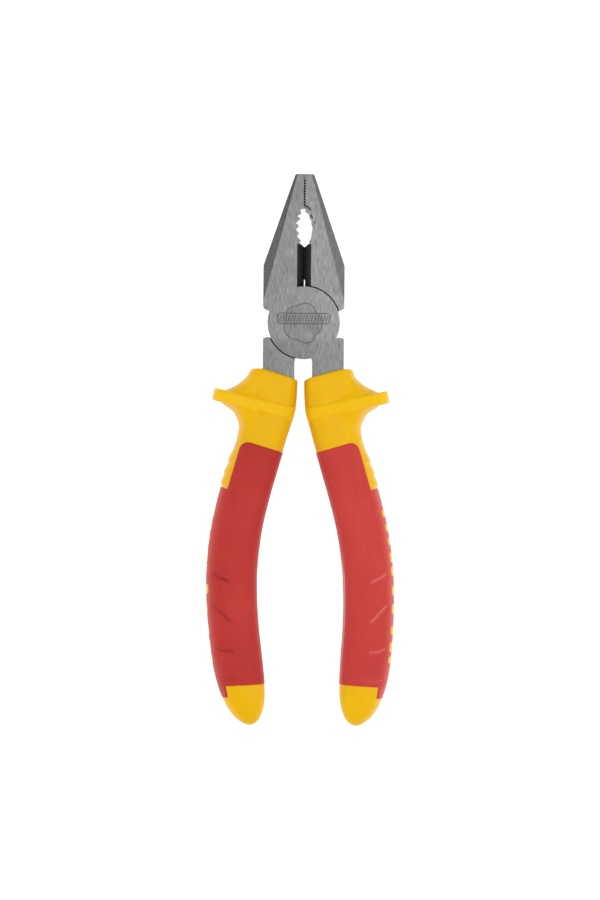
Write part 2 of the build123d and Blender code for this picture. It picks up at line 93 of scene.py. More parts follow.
# root of the thumb guard: y, outer x, half thickness
ROOT = np.array([
    (-16.0, 16.5, 6.7), (-17.5, 17.6, 7.0), (-19.0, 19.2, 7.2), (-20.3, 20.8, 7.3), (-21.3, 22.6, 7.4),
    (-22.2, 24.5, 7.5), (-23.2, 26.1, 7.8), (-24.4, 26.7, 8.4), (-25.6, 26.4, 8.9), (-26.8, 25.4, 9.0),
    (-28.0, 23.6, 8.8), (-29.3, 22.0, 8.4), (-31.0, 20.95, 7.9), (-33.0, 20.2, 7.5), (-36.0, 19.8, 7.3),
])
PADS = [
    (-61.0, -63.3), (-65.6, -67.9), (-70.0, -72.3), (-74.9, -78.0),
    (-79.5, -82.3), (-85.8, -88.7), (-91.8, -94.9), (-98.9, -101.6),
    (-104.1, -107.3), (-108.6, -111.0),
]
PAD_HALF_Z = {1: [5.0] * 10, -1: [3.2, 3.2, 3.2, 3.2, 3.2, 5.0, 3.2, 3.2, 3.2, 3.2]}   # right, left
RIBS = [-45.0, -48.9, -52.6]
# sideways set of both handles: y, set
SET = np.array([
    (-13.0, 0.0), (-15.0, -0.35), (-18.0, -0.72), (-24.0, -0.78), (-32.0, -0.86),
    (-40.0, -1.00), (-50.0, -0.99), (-60.0, -0.90), (-70.0, -0.75), (-80.0, -0.57),
    (-90.0, -0.34), (-100.0, -0.07), (-110.0, 0.22), (-120.0, 0.52), (-132.0, 0.80),
])
POWER = 2.7


def curve_through(table):
    """Smooth interpolation (shape-preserving cubic) of a table whose first column falls."""
    t = table[::-1]
    x, ys = t[:, 0], t[:, 1:]
    h = np.diff(x)
    d = np.diff(ys, axis=0) / h[:, None]
    m = np.zeros_like(ys)
    for j in range(ys.shape[1]):
        for i in range(1, len(x) - 1):
            if d[i - 1, j] * d[i, j] > 0:
                w1, w2 = 2 * h[i] + h[i - 1], h[i] + 2 * h[i - 1]
                m[i, j] = (w1 + w2) / (w1 / d[i - 1, j] + w2 / d[i, j])
        m[0, j], m[-1, j] = d[0, j], d[-1, j]

    def f(q):
        q = np.clip(q, x[0], x[-1])
        i = np.clip(np.searchsorted(x, q) - 1, 0, len(x) - 2)
        s = (q - x[i]) / h[i]
        s = s[..., None]
        hh = h[i][..., None]
        return ((1 + 2 * s) * (1 - s) ** 2 * ys[i] + s * (1 - s) ** 2 * hh * m[i]
                + s * s * (3 - 2 * s) * ys[i + 1] + s * s * (s - 1) * hh * m[i + 1])
    return f


outline = curve_through(OUTLINE)
set_over = curve_through(SET)


def section_dirs(n, power=POWER):
    """Unit superellipse, evenly spaced along its length."""
    t = np.linspace(0, 2 * np.pi, 4001)
    c, s = np.cos(t), np.sin(t)
    x = np.sign(c) * np.abs(c) ** (2 / power)
    z = np.sign(s) * np.abs(s) ** (2 / power)
    # superellipse points along the angle are dense at the flats: resample by length
    L = np.r_[0, np.cumsum(np.hypot(np.diff(x), np.diff(z)))]
    q = np.linspace(0, L[-1], n, endpoint=False)
    return np.interp(q, L, x), np.interp(q, L, z)


def smooth(a, b, x):
    t = np.clip((x - a) / (b - a), 0, 1)
    return t * t * (3 - 2 * t)


# ---- where the soft cover lies, in plan ------------------------------------
def arc_corner(p0, p1, p2, r, n=8):
    a, p, b = np.array(p0, float), np.array(p1, float), np.array(p2, float)
    ua, ub = (a - p) / np.linalg.norm(a - p), (b - p) / np.linalg.norm(b - p)
    ang = math.acos(float(ua @ ub))
    t, d = r / math.tan(ang / 2), r / math.sin(ang / 2)
    c = p + (ua + ub) / np.linalg.norm(ua + ub) * d
    s, e = p + ua * t, p + ub * t
    a0, a1 = math.atan2(*(s - c)[::-1]), math.atan2(*(e - c)[::-1])
    da = (a1 - a0 + math.pi) % (2 * math.pi) - math.pi
    return [tuple(c + r * np.array([math.cos(a0 + da * k / n), math.sin(a0 + da * k / n)])) for k in range(n + 1)]


def zone_polygon():
    P = [(-9.0, -46.8), (18.78, -38.52), (23.4, -54.47), (26.4, -53.7), (60.0, -53.0), (60.0, -122.5),
         (24.25, -122.5), (24.95, -118.75), (19.0, -118.35), (-9.0, -116.9)]
    out = []
    rad = {1: 2.8, 2: 0.35, 6: 0.4, 7: 0.35}
    n = len(P)
    for i in range(n):
        if i in rad:
            out += arc_corner(P[i - 1], P[i], P[(i + 1) % n], rad[i])
        else:
            out.append(P[i])
    return np.array(out)


ZONE = zone_polygon()


def inside_distance(poly, x, y):
    """Signed distance to a closed polygon, positive inside."""
    best = np.full(x.shape, 1e9)
    inside = np.zeros(x.shape, bool)
    n = len(poly)
    for i in range(n):
        ax, ay = poly[i]
        bx, by = poly[(i + 1) % n]
        dx, dy = bx - ax, by - ay
        L2 = dx * dx + dy * dy
        if L2 < 1e-12:
            continue
        t = np.clip(((x - ax) * dx + (y - ay) * dy) / L2, 0, 1)
        best = np.minimum(best, np.hypot(x - ax - t * dx, y - ay - t * dy))
        cross = ((ay > y) != (by > y)) & (x < (bx - ax) * (y - ay) / (by - ay + 1e-30) + ax)
        inside ^= cross
    return np.where(inside, best, -best)


def cover_distance(x, y, z, side):
    """How far inside the soft cover's outline a point is; the spine windows count as outside."""
    d = inside_distance(ZONE, x, y)
    xo, xi = outline(y)[..., 0], outline(y)[..., 1]
    outer_side = x > (xo + xi) / 2 + 3.0
    for (y0, y1), hz in zip(PADS, PAD_HALF_Z[side]):
        yc, hy = (y0 + y1) / 2, abs(y1 - y0) / 2
        r = 0.7
        qy, qz = np.abs(y - yc) - hy + r, np.abs(z) - hz - 0.1 + r
        w = np.hypot(np.maximum(qy, 0), np.maximum(qz, 0)) + np.minimum(np.maximum(qy, qz), 0) - r
        d = np.where(outer_side, np.minimum(d, w), d)
    return d


# ---- shallow moulded finger scallops in the cover ---------------------------
# each is a curved line in plan (outer end to inner end) with a small step down
# on its outer, lower side
SCALLOPS = [
    ([(28.9, -81.2), (26.6, -82.9), (23.6, -84.3), (22.1, -84.9)], 0.60),
    ([(28.9, -91.6), (27.2, -93.0), (25.2, -95.1), (23.6, -97.0), (21.6, -98.0)], 0.62),
    ([(27.9, -105.9), (25.9, -106.9), (23.6, -107.3), (21.2, -107.1)], 0.58),
    ([(27.2, -116.2), (25.2, -116.6), (22.8, -116.4), (20.2, -115.9)], 0.36),
]


def scallop_depth(x, y, z):
    total = np.zeros(x.shape)
    line = np.zeros(x.shape)
    face = smooth(2.0, 5.0, np.abs(z))
    for pts, depth in SCALLOPS:
        p = np.array(pts)
        L = np.r_[0, np.cumsum(np.hypot(*np.diff(p, axis=0).T))]
        q = np.linspace(0, L[-1], 40)
        # smooth the polyline a little
        px, py = np.interp(q, L, p[:, 0]), np.interp(q, L, p[:, 1])
        k = np.ones(9) / 9
        px = np.convolve(np.pad(px, 4, mode="edge"), k, "valid")
        py = np.convolve(np.pad(py, 4, mode="edge"), k, "valid")
        near = (np.abs(x - px.mean()) < 9) & (np.abs(y - py.mean()) < 9)
        if not near.any():
            continue
        xs, ys = x[near], y[near]
        d2 = (xs[:, None] - px[None]) ** 2 + (ys[:, None] - py[None]) ** 2
        j = d2.argmin(1)
        dist = np.sqrt(d2.min(1))
        tx, ty = np.gradient(px), np.gradient(py)
        tl = np.hypot(tx, ty)
        # side > 0 is the outer, lower side of the line
        side = ((xs - px[j]) * ty[j] - (ys - py[j]) * tx[j]) / tl[j]
        # normal sign: make 'below and outside' positive
        nx, ny = ty[j] / tl[j], -tx[j] / tl[j]
        flip = np.where(nx * 0.5 - ny * 1.0 > 0, 1.0, -1.0)
        side = side * flip
        along = q[j] / q[-1]
        win = smooth(0.0, 0.28, along) * smooth(1.0, 0.62, along) * smooth(3.6, 0.6, dist - np.abs(side) + 0.0 * dist)
        step = smooth(-0.28, 0.28, side) * np.exp(-np.maximum(side, 0) / 1.6)
        total[near] += depth * step * win
        # line: a mask along each scallop step, for the painted shade and painted highlight of the creases
        fade = smooth(0.0, 0.25, along) * smooth(1.0, 0.75, along)
        line[near] = np.maximum(line[near], fade * (0.75 * np.exp(-((dist) / 0.30) ** 2) * (depth > 0.4)
                                                    + 0.35 * np.exp(-((side - 0.25) / 0.9) ** 2) * smooth(1.6, 0.4, dist)) * (depth / 0.6))
    return total * face, line * face


# ---------------------------------------------------------------------------
# Mesh helpers
# ---------------------------------------------------------------------------
def grid_mesh(name, P, close_ends=True):
    """P is rows x columns x 3 in mm; columns wrap round. Caps close both ends."""
    rows, cols = P.shape[:2]
    verts = P.reshape(-1, 3)
    i = np.arange(rows - 1)[:, None] * cols
    j = np.arange(cols)[None]
    a, b = i + j, i + (j + 1) % cols
    quads = np.stack([a, b, b + cols, a + cols], -1).reshape(-1, 4)
    faces = quads.tolist()
    if close_ends:
        extra = []
        for r, rev in ((0, False), (rows - 1, True)):
            c = P[r].mean(0)
            extra.append(c)
            ci = len(verts) + len(extra) - 1
            ring = [r * cols + k for k in range(cols)]
            for k in range(cols):
                q0, q1 = ring[k], ring[(k + 1) % cols]
                faces.append([ci, q1, q0] if not rev else [ci, q0, q1])
        verts = np.vstack([verts, extra])
    me = bpy.data.meshes.new(name)
    me.from_pydata(verts.tolist(), [], faces)
    me.validate()
    bm = bmesh.new()
    bm.from_mesh(me)
    bmesh.ops.recalc_face_normals(bm, faces=bm.faces)
    bm.to_mesh(me)
    bm.free()
    ob = bpy.data.objects.new(name, me)
    bpy.context.scene.collection.objects.link(ob)
    return ob


def apply_modifiers(ob):
    dg = bpy.context.evaluated_depsgraph_get()
    me = bpy.data.meshes.new_from_object(ob.evaluated_get(dg), depsgraph=dg)
    old = ob.data
    ob.modifiers.clear()
    ob.data = me
    bpy.data.meshes.remove(old)


def coords(ob):
    n = len(ob.data.vertices)
    co = np.empty(n * 3)
    ob.data.vertices.foreach_get("co", co)
    return co.reshape(-1, 3)


def set_coords(ob, co):
    ob.data.vertices.foreach_set("co", np.ascontiguousarray(co, dtype=np.float32).ravel())
    ob.data.update()


def join(name, obs):
    bm = bmesh.new()
    for o in obs:
        bm.from_mesh(o.data)
    me = bpy.data.meshes.new(name)
    bm.to_mesh(me)
    bm.free()
    for o in obs:
        m = o.data
        bpy.data.objects.remove(o)
        bpy.data.meshes.remove(m)
    ob = bpy.data.objects.new(name, me)
    bpy.context.scene.collection.objects.link(ob)
    return ob


def put_attribute(ob, name, values):
    a = ob.data.attributes.new(name, "FLOAT", "POINT")
    a.data.foreach_set("value", np.ascontiguousarray(values, dtype=np.float32).ravel())


def shade_smooth(ob):
    ob.data.polygons.foreach_set("use_smooth", np.ones(len(ob.data.polygons), bool))
    ob.data.update()


def normals(ob):
    n = len(ob.data.vertices)
    v = np.empty(n * 3)
    ob.data.vertices.foreach_get("normal", v)
    return v.reshape(-1, 3)


def handle_points(ys, ncols, grow=0.0, tilt_top=False):
    """Section points for a column of y values: rows x columns x 3."""
    ux0, uz0 = section_dirs(ncols)
    ux1, uz1 = section_dirs(ncols, 3.7)
    sq = smooth(-24.0, -20.0, ys)[:, None]      # the collar is squarer where it closes round the shank
    ux, uz = ux0 * (1 - sq) + ux1 * sq, uz0 * (1 - sq) + uz1 * sq
    Y = np.repeat(ys[:, None], ncols, 1)
    if tilt_top:
        s = -15.05 - ys[:, None]
        w = 1.0 - smooth(0.5, 7.0, s)
        X = np.repeat(((outline(ys)[:, 0] + outline(ys)[:, 1]) / 2)[:, None], ncols, 1)
        for _ in range(4):
            q = X - 13.2
            lean = -np.sqrt(np.minimum(q, 0) ** 2 + 0.5) * 0.268 * (q < 0) - 0.18 * (q < 0) * 0
            # past the inner corner the end rolls away more steeply
            lean = lean - 0.09 * np.maximum(3.2 - X, 0) ** 1.5
            Y = ys[:, None] + lean * w
            o = outline(Y)
            X = (o[..., 0] + o[..., 1]) / 2 + ((o[..., 0] - o[..., 1]) / 2 + grow) * ux
    o = outline(Y)
    X = (o[..., 0] + o[..., 1]) / 2 + ((o[..., 0] - o[..., 1]) / 2 + grow) * ux
    Z = (o[..., 2] + grow) * uz
    return np.stack([X, Y, Z], -1)


def rib_push(x, y, z):
    """Saw-tooth ribs on the outer strip."""
    out = np.zeros(x.shape)
    for ry in RIBS:
        up = np.clip(1 - (y - ry) / 3.6, 0, 1) * (y >= ry)
        dn = np.clip(1 - (ry - y) / 0.55, 0, 1) * (y < ry)
        out = np.maximum(out, np.maximum(up, dn) ** 1.15)
    o = outline(y)
    mid = (o[..., 0] + o[..., 1]) / 2
    side = smooth(2.5, 6.5, x - mid) * smooth(6.6, 4.6, np.abs(z))
    return 0.55 * out * side


# ---------------------------------------------------------------------------
# Yellow core: collar, thumb guard and ribbed strip
# ---------------------------------------------------------------------------
def make_collar(name, side):
    cols = 150
    s = np.r_[np.linspace(-15.05, -17.05, 9), np.linspace(-17.3, -59.0, 170)]
    P = handle_points(s, cols, tilt_top=True)
    # round the top edge over 1.2 mm
    d = -15.05 - s[:, None]
    r = 0.85
    inset = np.where(d < r, r - np.sqrt(np.maximum(r * r - (r - np.minimum(d, r)) ** 2, 0)), 0)
    c = P.mean(1, keepdims=True)
    v = P - c
    v[..., 1] = 0
    L = np.linalg.norm(v, axis=-1, keepdims=True)
    P = P - v / L * inset[..., None] * 0.95
    P[..., 0] += rib_push(P[..., 0], P[..., 1], P[..., 2])
    body = grid_mesh(name + "_b", P)

    # thumb guard band: rounded plate, tilted; the right-hand one sits a hair lower
    tilt = math.radians(12.7 if side > 0 else 13.6)
    ux, uy = math.cos(tilt), math.sin(tilt)
    inner_end = 0.65
    length, half_t, r0 = (28.15 if side > 0 else 28.05) - inner_end, 9.7, 5.4
    middle = inner_end + length / 2
    cx, cy = 1.25 + ux * middle, (-30.15 if side > 0 else -30.0) + uy * middle
    n = 30

    def rrect(a, b, r):
        pts = []
        for q, (sx, sz) in enumerate(((1, 1), (-1, 1), (-1, -1), (1, -1))):
            for k in range(n):
                t = math.pi / 2 * (q + k / (n - 1))
                pts.append((sx * (a - r) + r * math.cos(t), sz * (b - r) + r * math.sin(t)))
        return pts
    # profile across the band: offset, inset at the tip, inset of the face.
    # both flanks lean back, so the band meets the collar and the grip softly
    rows = [(1.98, 0.75, 2.60), (1.97, 0.50, 1.95), (1.94, 0.28, 1.35), (1.86, 0.10, 0.82), (1.72, 0.02, 0.45),
            (1.52, 0.0, 0.17), (1.20, 0.0, 0.03), (0.60, 0.0, 0.0), (-0.80, 0.0, 0.0), (-1.35, 0.0, 0.03),
            (-1.68, 0.04, 0.17), (-1.88, 0.20, 0.45), (-2.00, 0.45, 0.90), (-2.06, 0.62, 1.50), (-2.10, 0.80, 2.40)]
    B = []
    for off, tip_in, face_in in rows:
        ring = []
        for a_, z_ in rrect(length / 2 - tip_in, half_t - face_in, r0 - max(tip_in, face_in * 0.6)):
            # the band is a little wider and lower at its inner end
            wide = 1.0 + 0.10 * smooth(4.0, -13.0, a_)
            flat = 1.0 - 0.155 * smooth(10.0, 1.0, a_) - 0.095 * smooth(-4.0, -13.0, a_)
            o_ = off * wide
            ring.append((cx + ux * a_ - uy * o_, cy + uy * a_ + ux * o_, z_ * flat))
        B.append(ring)
    band = grid_mesh(name + "_f", np.array(B))

    # root that runs out into the guard
    low = ROOT.copy()
    if side > 0:
        low[:, 0] -= np.interp(-low[:, 0], [24.4, 26.8, 31.0, 36.0], [0.0, 0.5, 0.4, 0.0])
    rt = curve_through(low)
    ry = np.linspace(-17.0, -35.9, 90)
    rx, rz = rt(ry).T
    dx, dz = section_dirs(110, 2.3)
    xi = 10.0
    R = np.stack([
        np.repeat(((rx + xi) / 2)[:, None], 110, 1) + ((rx - xi) / 2)[:, None] * dx[None],
        np.repeat(ry[:, None], 110, 1),
        rz[:, None] * dz[None]], -1)
    root = grid_mesh(name + "_r", R)

    ob = join(name, [body, band, root])
    m = ob.modifiers.new("r", "REMESH")
    m.mode = "VOXEL"
    m.voxel_size = 0.21
    m.adaptivity = 0.0
    sm = ob.modifiers.new("s", "SMOOTH")
    sm.factor = 0.5
    sm.iterations = 9
    apply_modifiers(ob)
    co, no = coords(ob), normals(ob)
    d = cover_distance(co[:, 0], co[:, 1], co[:, 2], side)
    sink = smooth(-0.10, 0.55, d) * 1.1
    # where the raised band of the guard is, which is coloured a paler yellow
    across = -uy * (co[:, 0] - cx) + ux * (co[:, 1] - cy)
    along = ux * (co[:, 0] - cx) + uy * (co[:, 1] - cy)
    wide = 1.0 + 0.10 * smooth(4.0, -13.0, along)
    put_attribute(ob, "band_pale", smooth(2.10, 1.75, np.abs(across + 0.05) / wide))
    co = co - no * sink[:, None]
    set_coords(ob, co)
    return ob


def surface_normals(P):
    du = np.roll(P, -1, 1) - np.roll(P, 1, 1)
    dv = np.gradient(P, axis=0)
    n = np.cross(du, dv)
    n /= np.maximum(np.linalg.norm(n, axis=-1, keepdims=True), 1e-9)
    c = P.mean(1, keepdims=True)
    flip = np.sign(((P - c) * n).sum(-1).sum())
    return n * flip


def make_spine(name, side):
    """The core under the cover, its spine pads, and the end cap."""
    cols = 200
    step = 0.3
    ys = np.r_[np.arange(-57.0, -126.0, -step), -126.0 - 5.6 * np.sin(np.linspace(0, math.pi / 2, 26)[1:])]
    P = handle_points(ys, cols)
    N = surface_normals(P)
    d = cover_distance(P[..., 0], P[..., 1], P[..., 2], side)
    pad = smooth(0.10, -0.25, d) * (P[..., 1] < -58.0) * (P[..., 1] > -113.0)
    P = P + N * (0.13 * pad - smooth(-0.10, 0.45, d) * 1.1)[..., None]
    return grid_mesh(name, P)


def make_cover(name, side):
    cols = 220
    k = 1.0
    ys = np.r_[np.linspace(-38.2, -56.0, int(82 / k))[:-1], np.linspace(-56.0, -116.0, int(220 / k))[:-1],
               np.linspace(-116.0, -123.6, int(36 / k))]
    P = handle_points(ys, cols)
    N = surface_normals(P)
    d = cover_distance(P[..., 0], P[..., 1], P[..., 2], side)
    push = -1.0 + 1.14 * smooth(-0.45, 0.10, d)
    # a fine witness line runs round the lower end, just above the cap
    push = push - 0.07 * np.exp(-((d - 1.15) / 0.22) ** 2) * smooth(-113.5, -115.0, P[..., 1])
    # the finger scallops sink into the cover
    depth, line = scallop_depth(P[..., 0], P[..., 1], P[..., 2])
    push = push - depth * smooth(0.0, 0.6, d)
    P = P + N * push[..., None]
    ob = grid_mesh(name, P)
    # the crease mask carries the painted shade and painted highlight of the scallop steps
    flat = np.zeros(len(ob.data.vertices))
    flat[:line.size] = line.ravel()
    put_attribute(ob, "crease", flat)
    return ob


def to_metres(ob, mirror):
    co = coords(ob)
    if mirror:
        co[:, 0] *= -1
    co[:, 0] += set_over(co[:, 1])[..., 0]
    co[:, 2] += HALF
    set_coords(ob, co * MM)
    if mirror:
        ob.data.flip_normals()
    shade_smooth(ob)


# ---------------------------------------------------------------------------
# Materials
# ---------------------------------------------------------------------------
def srgb(r, g, b):
    def f(c):
        c /= 255.0
        return c / 12.92 if c <= 0.04045 else ((c + 0.055) / 1.055) ** 2.4
    return (f(r), f(g), f(b), 1.0)


class Mat:
    def __init__(self, name):
        self.m = bpy.data.materials.new(name)
        self.m.use_nodes = True
        self.t = self.m.node_tree
        self.t.nodes.clear()
        self.out = self.n("ShaderNodeOutputMaterial")
        self.b = self.n("ShaderNodeBsdfPrincipled")
        self.link(self.b.outputs[0], self.out.inputs[0])
        self.tc = self.n("ShaderNodeTexCoord")

    def n(self, kind, **kw):
        node = self.t.nodes.new(kind)
        for k, v in kw.items():
            setattr(node, k, v)
        return node

    def link(self, a, b):
        self.t.links.new(a, b)

    def value(self, sock, v):
        if hasattr(v, "links") or hasattr(v, "is_linked"):
            self.link(v, sock)
        else:
            sock.default_value = v

    def math(self, op, a, b=None, c=None, clamp=False):
        m = self.n("ShaderNodeMath", operation=op, use_clamp=clamp)
        self.value(m.inputs[0], a)
        if b is not None:
            self.value(m.inputs[1], b)
        if c is not None:
            self.value(m.inputs[2], c)
        return m.outputs[0]

    def noise(self, vec, scale, detail=3.0, rough=0.5, dist=0.0):
        n = self.n("ShaderNodeTexNoise")
        n.inputs["Scale"].default_value = scale
        n.inputs["Detail"].default_value = detail
        n.inputs["Roughness"].default_value = rough
        n.inputs["Distortion"].default_value = dist
        self.link(vec, n.inputs["Vector"])
        return n.outputs["Fac"]

    def scaled(self, vec, s):
        m = self.n("ShaderNodeMapping")
        m.inputs["Scale"].default_value = s
        self.link(vec, m.inputs["Vector"])
        return m.outputs[0]

    def ramp(self, fac, stops):
        r = self.n("ShaderNodeValToRGB")
        el = r.color_ramp.elements
        while len(el) > 1:
            el.remove(el[-1])
        el[0].position, el[0].color = stops[0]
        for p, c in stops[1:]:
            e = el.new(p)
            e.color = c
        self.link(fac, r.inputs[0])
        return r.outputs[0]

    def mix(self, fac, a, b, mode="MIX"):
        m = self.n("ShaderNodeMix", data_type="RGBA", blend_type=mode)
        self.value(m.inputs[0], fac)
        self.value(m.inputs[6], a)
        self.value(m.inputs[7], b)
        return m.outputs[2]

    def smoothstep(self, x, a, b):
        m = self.n("ShaderNodeMapRange", interpolation_type="SMOOTHSTEP")
        self.value(m.inputs[0], x)
        m.inputs[1].default_value, m.inputs[2].default_value = a, b
        m.inputs[3].default_value, m.inputs[4].default_value = 0.0, 1.0
        return m.outputs[0]

    def bump(self, height, strength, distance, normal=None):
        b = self.n("ShaderNodeBump")
        b.inputs["Strength"].default_value = strength
        b.inputs["Distance"].default_value = distance
        self.link(height, b.inputs["Height"])
        if normal is not None:
            self.link(normal, b.inputs["Normal"])
        return b.outputs[0]


def steel(name, level=0.30, bias=0.0, mark=False):
    """Ground tool steel: fine streaks along the tool, dark ground cutter, bright edges that are partly wear and partly
    a painted highlight, and painted light and shade.
    """
    M = Mat(name)
    P = M.tc.outputs["Object"]
    sep = M.n("ShaderNodeSeparateXYZ")
    M.link(P, sep.inputs[0])
    x, y, z = sep.outputs
    geo = M.n("ShaderNodeNewGeometry")
    nsep = M.n("ShaderNodeSeparateXYZ")
    M.link(geo.outputs["True Normal"], nsep.inputs[0])
    nz = M.math("ABSOLUTE", nsep.outputs[2])

    # grinding streaks: strong stretch along Y, two scales, plus scattered long scratches
    s1 = M.noise(M.scaled(P, (5600, 330, 5600)), 1.0, 2.0, 0.6)
    s2 = M.noise(M.scaled(P, (1200, 150, 1200)), 1.0, 3.0, 0.6)
    s3 = M.noise(M.scaled(P, (9500, 560, 9500)), 1.0, 2.0, 0.6)
    big = M.noise(P, 90.0, 2.0, 0.5)
    streak = M.math("ADD", M.math("MULTIPLY", s1, 0.66), M.math("ADD", M.math("MULTIPLY", s2, 0.03), M.math("MULTIPLY", s3, 0.31)))
    tone = M.math("ADD", M.math("MULTIPLY", M.math("SUBTRACT", streak, 0.5), 2.7), M.math("MULTIPLY", M.math("SUBTRACT", big, 0.5), 0.08))
    base = M.math("MULTIPLY", level, M.math("ADD", 1.0, tone))
    # painted light: the steel is painted brighter towards the right-hand side of the tool, where the light falls
    base = M.math("MULTIPLY", base, M.math("ADD", 1.0 + bias, M.math("MULTIPLY", x, 2.2)))
    # the shanks are darker than the jaws, and the jaws a little darker toward their tips
    base = M.math("MULTIPLY", base, M.math("MULTIPLY_ADD", M.smoothstep(y, -0.0075, -0.0035), 0.16, 0.84))
    base = M.math("MULTIPLY", base, M.math("MULTIPLY_ADD", M.smoothstep(y, 0.030, 0.044), -0.09, 1.0))
    comb = M.n("ShaderNodeCombineColor")
    M.link(base, comb.inputs[0])
    M.link(base, comb.inputs[1])
    M.link(M.math("MULTIPLY", base, 1.004), comb.inputs[2])
    col = comb.outputs[0]

    # dark cutter bevels
    ax = M.math("ABSOLUTE", x)
    in_x = M.math("SUBTRACT", 1.0, M.smoothstep(ax, 0.00228, 0.00240))
    in_y = M.math("MULTIPLY", M.smoothstep(y, 0.0115, 0.0118), M.math("SUBTRACT", 1.0, M.smoothstep(y, 0.0272, 0.0276)))
    tilted = M.math("SUBTRACT", 1.0, M.smoothstep(nz, 0.62, 0.70))
    cut = M.math("MULTIPLY", M.math("MULTIPLY", in_x, in_y), tilted)
    dark_noise = M.noise(M.scaled(P, (900, 3500, 900)), 1.0, 2.0, 0.6)
    dark = M.ramp(dark_noise, [(0.0, (0.055, 0.055, 0.055, 1)), (1.0, (0.130, 0.130, 0.132, 1))])
    # the right-hand bevel catches a little more light
    dark = M.mix(M.math("MULTIPLY", M.smoothstep(x, -0.0002, 0.0002), 0.36), dark, (0.20, 0.20, 0.202, 1))
    col = M.mix(cut, col, dark)
    # painted shade: a black line painted where the cutting edges meet, in place of the shade in the gap between them;
    # it leans a little
    lean = M.math("MULTIPLY_ADD", M.math("SUBTRACT", y, 0.0142), 0.028, -0.00016)
    edge_x = M.math("ABSOLUTE", M.math("SUBTRACT", x, lean))
    edge_gap_shade = M.math("MULTIPLY", M.math("SUBTRACT", 1.0, M.smoothstep(edge_x, 0.00014, 0.00030)),
                       M.math("MULTIPLY", in_y, M.math("SUBTRACT", 1.0, M.smoothstep(nz, 0.95, 0.98))))
    col = M.mix(edge_gap_shade, col, (0.002, 0.002, 0.002, 1))

    # painted shade: faces that turn away from the camera (jaw sides, facets) are painted darker than the flat faces
    side = M.math("SUBTRACT", 1.0, M.smoothstep(nz, 0.90, 0.985))
    side_shade = M.math("MULTIPLY", side, M.math("SUBTRACT", 1.0, cut))
    col = M.mix(M.math("MULTIPLY", side_shade, 0.14), col, (0.04, 0.04, 0.041, 1))
    # painted light and shade: the left ground facet is painted darker and the right one lighter, as the light falls on
    # them
    facet = M.math("MULTIPLY", M.math("MULTIPLY", M.smoothstep(nz, 0.76, 0.80), M.math("SUBTRACT", 1.0, M.smoothstep(nz, 0.90, 0.94))),
                   M.smoothstep(y, 0.0060, 0.0066))
    hand = M.math("MULTIPLY_ADD", M.smoothstep(x, -0.002, 0.002), FACET_RIGHT_LIGHT - FACET_LEFT_SHADE, FACET_LEFT_SHADE)
    facet_light_gain = M.math("ADD", 1.0, M.math("MULTIPLY", facet, M.math("SUBTRACT", hand, 1.0)))
    gv = M.n("ShaderNodeVectorMath", operation="SCALE")
    M.link(col, gv.inputs[0])
    M.link(facet_light_gain, gv.inputs["Scale"])
    col = gv.outputs[0]

    # painted shade: near-black painted into the tip serrations, the joint arc gaps, the notches and the seam between
    # the jaws, where shade falls
    wall = M.math("SUBTRACT", 1.0, M.smoothstep(nz, 0.88, 0.95))
    steep = M.math("SUBTRACT", 1.0, M.smoothstep(nz, 0.40, 0.55))
    tip = M.math("MULTIPLY", M.math("SUBTRACT", 1.0, M.smoothstep(ax, 0.00048, 0.00056)),
                 M.math("MULTIPLY", M.smoothstep(y, 0.0370, 0.0372), M.math("SUBTRACT", 1.0, M.smoothstep(y, 0.0466, 0.0470))))
    rad = M.math("SQRT", M.math("ADD", M.math("MULTIPLY", x, x), M.math("MULTIPLY", y, y)))
    arc = M.math("MULTIPLY", M.smoothstep(rad, 0.01176, 0.01179), M.math("SUBTRACT", 1.0, M.smoothstep(rad, 0.01212, 0.01215)))
    low = M.math("MULTIPLY", M.math("SUBTRACT", 1.0, M.smoothstep(z, 0.0090, 0.0096)), M.smoothstep(z, 0.0004, 0.0010))
    arc = M.math("MULTIPLY", arc, M.math("MAXIMUM", wall, low))
    # no painted shade on the rim of the lap disc where it shows between jaw and shank
    arc = M.math("MULTIPLY", arc, M.smoothstep(M.math("ABSOLUTE", y), 0.0040, 0.0050))
    # painted shadow: a dark spot where each notch opens on the face, and a dark line down the seam between the jaws
    row = M.math("MULTIPLY", M.math("SUBTRACT", M.math("FRACT", M.math("ADD", M.math("DIVIDE", M.math("SUBTRACT", y, 0.0463), 0.000873), 0.5)), 0.5), 0.000873)
    spot = M.math("SQRT", M.math("ADD", M.math("MULTIPLY", x, x), M.math("MULTIPLY", row, row)))
    band = M.math("MULTIPLY", M.smoothstep(y, 0.0379, 0.0381), M.math("SUBTRACT", 1.0, M.smoothstep(y, 0.0466, 0.0468)))
    spot = M.math("MULTIPLY", M.math("SUBTRACT", 1.0, M.smoothstep(spot, 0.00026, 0.00041)), band)
    seam = M.math("MULTIPLY", M.math("SUBTRACT", 1.0, M.smoothstep(ax, 0.00010, 0.00020)), M.math("MULTIPLY_ADD", band, 0.08, 0.30))
    seam = M.math("MULTIPLY", seam, M.smoothstep(y, 0.0373, 0.0375))
    notch_shade = M.math("MAXIMUM", M.math("MULTIPLY", spot, 0.92), seam)
